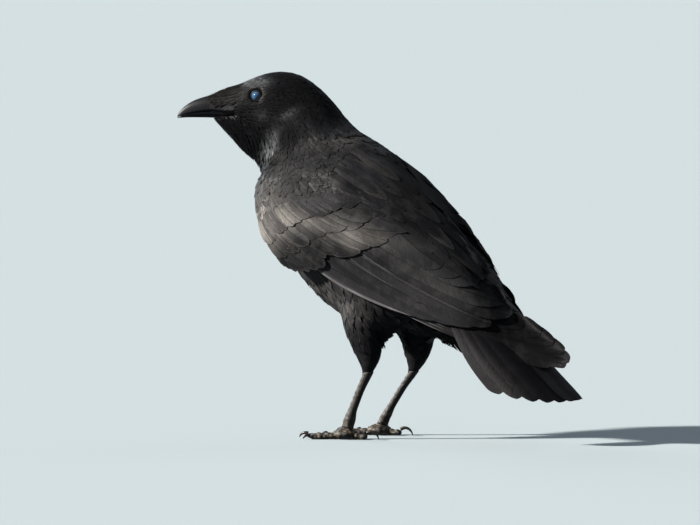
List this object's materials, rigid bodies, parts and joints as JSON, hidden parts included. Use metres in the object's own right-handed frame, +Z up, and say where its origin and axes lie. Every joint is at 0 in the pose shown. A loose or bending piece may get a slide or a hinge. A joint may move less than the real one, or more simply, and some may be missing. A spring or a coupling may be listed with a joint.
{
  "type": "carrion crow, standing, still life-size model",
  "caption": "Life-size still model of a standing carrion crow with folded wings and half-spread tail, head turned a little to its left.",
  "frame": {"origin": "on the floor, under the middle of the whole crow's box", "axes": "+Z up; the crow faces -X and its left side is towards -Y"},
  "size_m": [0.3826, 0.1234, 0.3244],
  "materials": {
    "plumage": "glossy black contour feathers with a faint blue-green to purple sheen",
    "wing_plumage": "black to brown-black flight feathers and coverts, satin, a little worn",
    "bill_horn": "smooth dark grey-black horn, semi-gloss",
    "claw_horn": "glossy black horn",
    "leg_scales": "black to brown-grey horny scutes and small scales, satin",
    "eye": "wet dark eye with a pale blue third eyelid half drawn"
  },
  "bodies": {
    "root": {"head": "plumage", "neck": "plumage", "trunk": "plumage", "tail": "plumage", "thigh_left": "plumage", "thigh_right": "plumage", "wing_left_arm": "wing_plumage", "wing_left_secondaries": "wing_plumage", "wing_left_primaries": "wing_plumage", "wing_right_arm": "wing_plumage", "wing_right_secondaries": "wing_plumage", "wing_right_primaries": "wing_plumage", "bill_upper": "bill_horn", "bill_lower": "bill_horn", "claw_left_1": "claw_horn", "claw_left_2": "claw_horn", "claw_left_3": "claw_horn", "claw_left_4": "claw_horn", "claw_right_1": "claw_horn", "claw_right_2": "claw_horn", "claw_right_3": "claw_horn", "claw_right_4": "claw_horn", "tarsus_left": "leg_scales", "tarsus_right": "leg_scales", "toe_left_1": "leg_scales", "toe_left_2": "leg_scales", "toe_left_3": "leg_scales", "toe_left_4": "leg_scales", "toe_right_1": "leg_scales", "toe_right_2": "leg_scales", "toe_right_3": "leg_scales", "toe_right_4": "leg_scales", "eye_left": "eye", "eye_right": "eye"}
  },
  "joints": []
}
